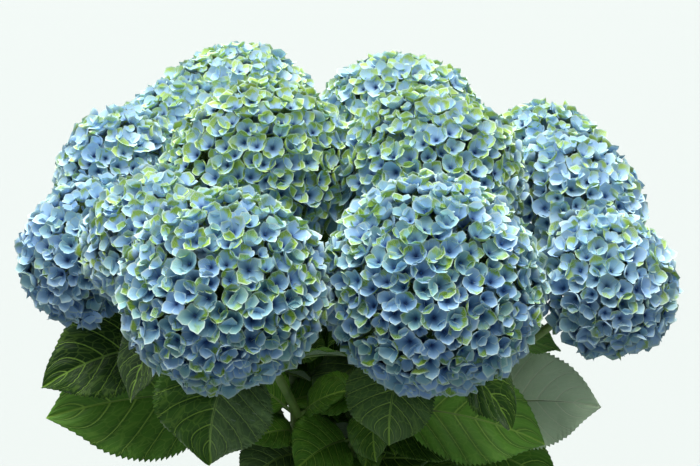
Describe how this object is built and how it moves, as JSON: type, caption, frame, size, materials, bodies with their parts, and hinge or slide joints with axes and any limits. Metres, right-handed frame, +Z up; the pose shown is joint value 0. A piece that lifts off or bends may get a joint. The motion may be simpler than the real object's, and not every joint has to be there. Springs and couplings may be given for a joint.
{
  "type": "hydrangeas in a vase",
  "caption": "Cut mophead hydrangeas with blue-green domed heads, stems and serrated leaves, standing in a plain round glazed vase as a free-standing table arrangement.",
  "frame": {"origin": "centre of the vase's foot, on the surface it stands on", "axes": "+Z up through the middle of the vase; -Y is the front of the arrangement"},
  "size_m": [0.538, 0.5553, 0.6511],
  "materials": {
    "sepals": "matt, soft blue petal-like sepals with lime-green patches and pale rims",
    "stem": "satin green stem, woody lower down",
    "leaf": "semi-gloss dark green with paler veins and underside",
    "vase_glaze": "smooth off-white gloss glaze"
  },
  "bodies": {
    "root": {"head_back_left": "sepals", "head_back_middle": "sepals", "head_back_right": "sepals", "head_front_left": "sepals", "head_front_right": "sepals", "head_left_back": "sepals", "head_left_high": "sepals", "head_left_low": "sepals", "head_left_mid": "sepals", "head_middle_left": "sepals", "head_middle_right": "sepals", "head_right_back": "sepals", "head_right_low": "sepals", "head_right_mid": "sepals", "leaf_back_left_a": "leaf", "leaf_back_left_b": "leaf", "leaf_back_left_c": "leaf", "leaf_back_right_a": "leaf", "leaf_back_right_b": "leaf", "leaf_back_right_c": "leaf", "leaf_front_left_a": "leaf", "leaf_front_left_b": "leaf", "leaf_front_left_c": "leaf", "leaf_front_right_a": "leaf", "leaf_front_right_b": "leaf", "leaf_front_right_c": "leaf", "leaf_front_right_d": "leaf", "leaf_front_right_e": "leaf", "leaf_left_back_a": "leaf", "leaf_left_back_b": "leaf", "leaf_left_back_c": "leaf", "leaf_left_high_a": "leaf", "leaf_left_high_b": "leaf", "leaf_left_low_a": "leaf", "leaf_left_low_b": "leaf", "leaf_left_low_c": "leaf", "leaf_left_mid_a": "leaf", "leaf_middle_left_a": "leaf", "leaf_middle_right_a": "leaf", "leaf_right_back_a": "leaf", "leaf_right_back_b": "leaf", "leaf_right_low_a": "leaf", "leaf_right_low_b": "leaf", "leaf_right_mid_a": "leaf", "leaf_right_mid_b": "leaf", "stem_back_left": "stem", "stem_back_middle": "stem", "stem_back_right": "stem", "stem_front_left": "stem", "stem_front_right": "stem", "stem_left_back": "stem", "stem_left_high": "stem", "stem_left_low": "stem", "stem_left_mid": "stem", "stem_middle_left": "stem", "stem_middle_right": "stem", "stem_right_back": "stem", "stem_right_low": "stem", "stem_right_mid": "stem", "vase": "vase_glaze"}
  },
  "joints": []
}
